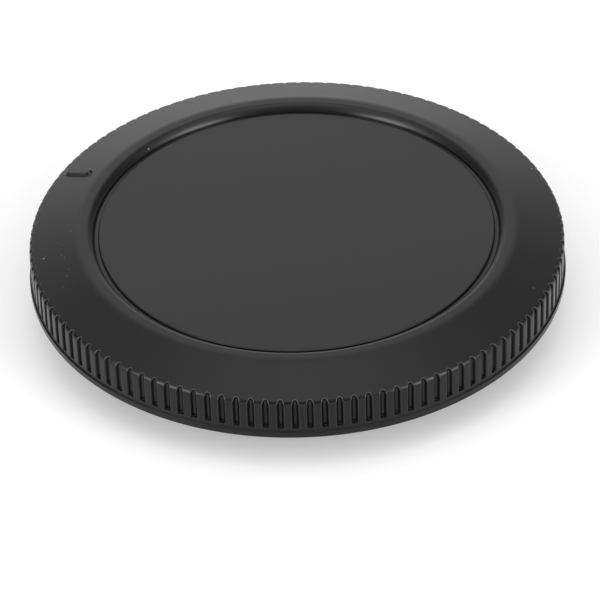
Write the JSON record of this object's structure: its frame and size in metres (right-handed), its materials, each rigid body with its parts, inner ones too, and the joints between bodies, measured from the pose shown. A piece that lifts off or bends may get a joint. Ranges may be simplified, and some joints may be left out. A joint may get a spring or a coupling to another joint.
{
  "type": "camera body cap",
  "caption": "Round black cap that closes a camera's lens mount: ribbed grip, sloped rim, recessed disc, bayonet collar behind.",
  "frame": {"origin": "centre of the collar's end, on the surface that the cap rests on", "axes": "+Z along the cap's axis, out of the front face; +Y towards the raised index mark on the front slope"},
  "size_m": [0.065, 0.065, 0.0111],
  "materials": {
    "black_plastic": "fine satin moulded plastic with a little dust"
  },
  "bodies": {
    "root": {"cap": "black_plastic"}
  },
  "joints": []
}
